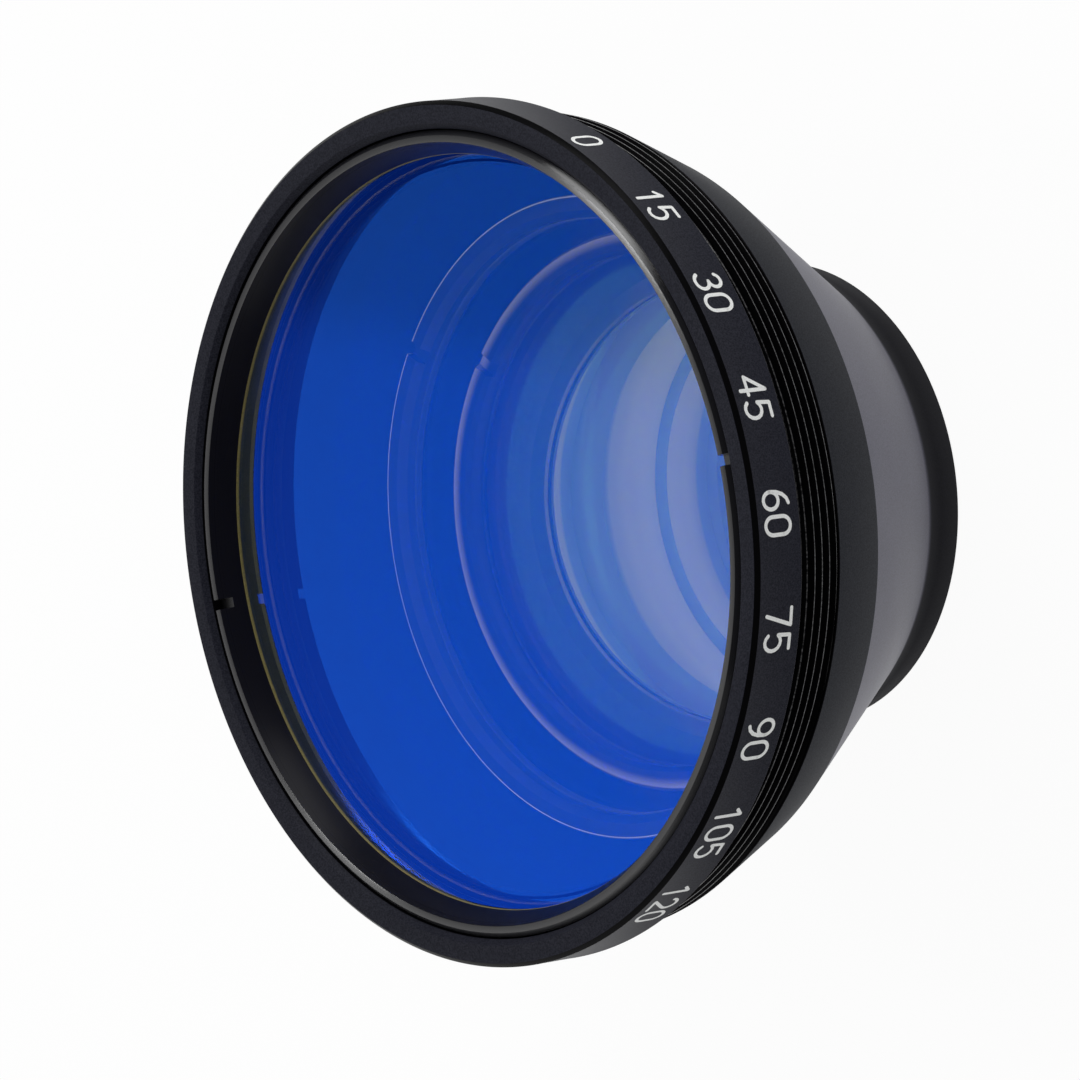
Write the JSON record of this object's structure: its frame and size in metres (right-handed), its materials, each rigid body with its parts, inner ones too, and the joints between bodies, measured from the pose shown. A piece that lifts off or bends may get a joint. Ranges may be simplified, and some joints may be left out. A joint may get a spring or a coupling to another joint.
{
  "type": "f theta scan lens",
  "caption": "Flat-field laser scan lens: coated elements and a protective window in a black tapered barrel with a flange and a threaded mount behind it.",
  "frame": {"origin": "centre of the rear collar's end face, where the scanned beam enters", "axes": "+Z along the optical axis towards the window; +X and +Y lie in the rear face"},
  "size_m": [0.0886, 0.0886, 0.0479],
  "materials": {
    "anodised_barrel": "blasted, black anodised, satin",
    "anodised_ring": "fine turned, black anodised, semi-gloss",
    "anodised_inner_ring": "fine turned, black anodised, satin",
    "gasket": "thin amber film",
    "window_glass": "polished, coated on both faces, blue reflection",
    "lens_glass": "polished, coated, lavender reflection",
    "o_ring_rubber": "matte"
  },
  "bodies": {
    "root": {"barrel": "anodised_barrel", "window_retaining_ring": "anodised_ring", "window_gasket": "gasket", "protective_window": "window_glass", "window_o_ring": "o_ring_rubber", "front_lens_retaining_ring": "anodised_inner_ring", "front_lens": "lens_glass", "middle_lens_retaining_ring": "anodised_inner_ring", "middle_lens": "lens_glass", "entrance_lens": "lens_glass", "entrance_lens_retaining_ring": "anodised_inner_ring"}
  },
  "joints": []
}
